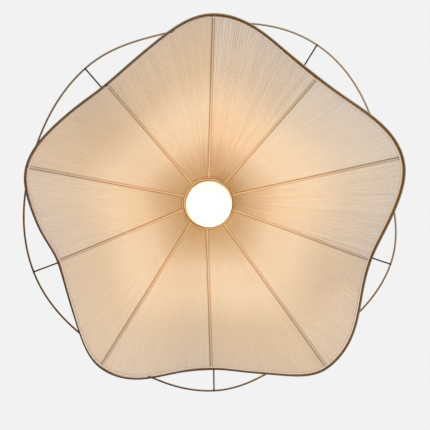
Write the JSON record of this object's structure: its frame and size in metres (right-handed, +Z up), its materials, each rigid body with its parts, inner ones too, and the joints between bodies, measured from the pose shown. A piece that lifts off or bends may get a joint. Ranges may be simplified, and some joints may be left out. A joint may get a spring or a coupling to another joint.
{
  "type": "pendant light",
  "caption": "Pleated fabric pendant light shaped as a lobed flower round an opal globe bulb, on a wire frame with an outer hoop.",
  "frame": {"origin": "on the light's axis, at the top face of the cord grip, where the cord comes in and holds the light", "axes": "+Z up along the cord; -Y towards the first lobe of the rim; +X to the right seen from below with that lobe at the top"},
  "size_m": [0.7609, 0.7761, 0.296],
  "materials": {
    "pleated_cloth": "fine crinkle-pleated cloth, matt, warm where light comes through",
    "seam_tape": "woven tape, matt",
    "binding": "narrow satin binding, slight sheen",
    "bronze_wire": "bronze-brown lacquered steel wire, satin",
    "pale_wire": "champagne-bronze lacquered steel wire, satin",
    "brass": "turned brass, satin",
    "brass_cup": "spun brass, polished",
    "steel": "plain steel screw",
    "nickel": "nickel-plated brass",
    "porcelain": "white glazed porcelain",
    "opal_glass": "opal glass, glossy, lit from inside",
    "white_plastic": "moulded white plastic",
    "circuit_board": "glass-epoxy board",
    "black_glass": "black glass bead of the screw base"
  },
  "bodies": {
    "light": {"cord_grip": "brass", "grip_screw": "steel", "threaded_nipple": "brass", "lock_nut": "brass", "holder_cap": "brass", "holder_body": "brass", "holder_insert": "porcelain", "terminal_screws": "brass", "screw_shell": "brass", "centre_contact": "brass", "shade_ring": "brass", "brass_cup": "brass_cup", "shade_fitter": "bronze_wire", "neck_ring": "bronze_wire", "rim_wire": "bronze_wire", "trim_wire": "pale_wire", "outer_hoop": "pale_wire", "hoop_strut_1": "bronze_wire", "hoop_strut_2": "bronze_wire", "hoop_strut_3": "bronze_wire", "hoop_strut_4": "bronze_wire", "hoop_strut_5": "bronze_wire", "rib_1": "bronze_wire", "rib_2": "bronze_wire", "rib_3": "bronze_wire", "rib_4": "bronze_wire", "rib_5": "bronze_wire", "rib_6": "bronze_wire", "rib_7": "bronze_wire", "rib_8": "bronze_wire", "rib_9": "bronze_wire", "rib_10": "bronze_wire", "gore_1": "pleated_cloth", "gore_2": "pleated_cloth", "gore_3": "pleated_cloth", "gore_4": "pleated_cloth", "gore_5": "pleated_cloth", "gore_6": "pleated_cloth", "gore_7": "pleated_cloth", "gore_8": "pleated_cloth", "gore_9": "pleated_cloth", "gore_10": "pleated_cloth", "seam_tapes": "seam_tape", "rim_binding": "binding", "neck_binding": "seam_tape"},
    "bulb_tip": {"bulb_insulator": "black_glass", "bulb_contact": "nickel"},
    "bulb": {"bulb_globe": "opal_glass", "bulb_collar": "white_plastic", "bulb_base": "nickel", "led_board": "white_plastic", "led_driver": "circuit_board"}
  },
  "joints": [
    {"name": "bulb_travel", "type": "slide", "parent": "light", "child": "bulb_tip", "axis": [0, 0, -1], "range_m": [0, 0.0109]},
    {"name": "bulb_turn", "type": "hinge", "parent": "bulb_tip", "child": "bulb", "pos_m": [0, 0, -0.139], "axis": [0, 0, -1], "range_deg": [0, 1080]}
  ],
  "couplings": [
    {"joint": "bulb_travel", "follows": "bulb_turn", "m_per_rad": 0.00057758}
  ]
}
